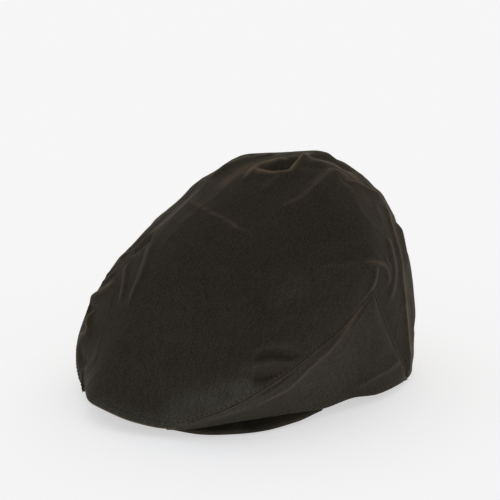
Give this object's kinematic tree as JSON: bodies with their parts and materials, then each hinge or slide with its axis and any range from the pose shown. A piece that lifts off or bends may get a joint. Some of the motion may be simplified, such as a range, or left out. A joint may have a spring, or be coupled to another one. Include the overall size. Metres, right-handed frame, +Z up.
{
  "type": "waxed flat cap",
  "caption": "Waxed cotton flat cap with a one-piece top, two wedge-shaped side panels and a stiff arched peak, standing by itself.",
  "frame": {"origin": "middle of the cap's box on the surface it stands on", "axes": "+Z up, -Y where the peak points, +X the wearer's left"},
  "size_m": [0.1872, 0.2424, 0.1506],
  "materials": {
    "waxed_cotton": "dark olive-brown waxed cotton, soft low sheen, rubbed paler along creases",
    "peak_cover": "the same waxed cotton drawn tight over a stiff board"
  },
  "bodies": {
    "root": {"top_front_left": "waxed_cotton", "top_front_right": "waxed_cotton", "top_back_left": "waxed_cotton", "top_back_right": "waxed_cotton", "side_panel_left": "waxed_cotton", "side_panel_right": "waxed_cotton", "peak": "peak_cover"}
  },
  "joints": []
}
